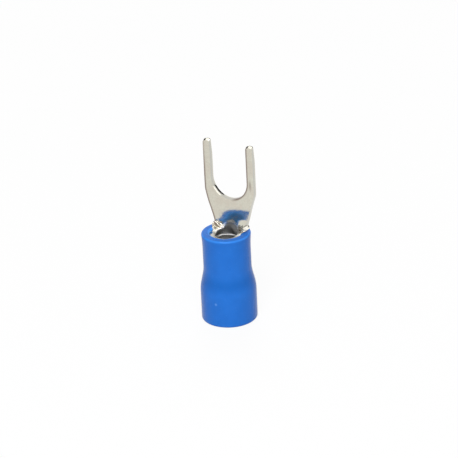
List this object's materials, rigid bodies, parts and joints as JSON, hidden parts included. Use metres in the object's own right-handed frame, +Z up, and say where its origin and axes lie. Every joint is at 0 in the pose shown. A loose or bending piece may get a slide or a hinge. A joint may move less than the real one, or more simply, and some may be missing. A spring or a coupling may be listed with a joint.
{
  "type": "fork terminal",
  "caption": "Insulated crimp fork terminal: a flat forked tongue for a screw stud that grows out of a rolled wire barrel, held in a flared insulating sleeve.",
  "frame": {"origin": "centre of the sleeve's wire-entry end, where the part stands", "axes": "+Z up the wire barrel towards the prong tips, +X across the fork, -Y out of the open side of the neck"},
  "size_m": [0.006, 0.0058, 0.0195],
  "materials": {
    "tinned_copper": "bright tin plate over stamped copper sheet",
    "blue_sleeve": "satin moulded vinyl"
  },
  "bodies": {
    "root": {"terminal": "tinned_copper", "sleeve": "blue_sleeve"}
  },
  "joints": []
}
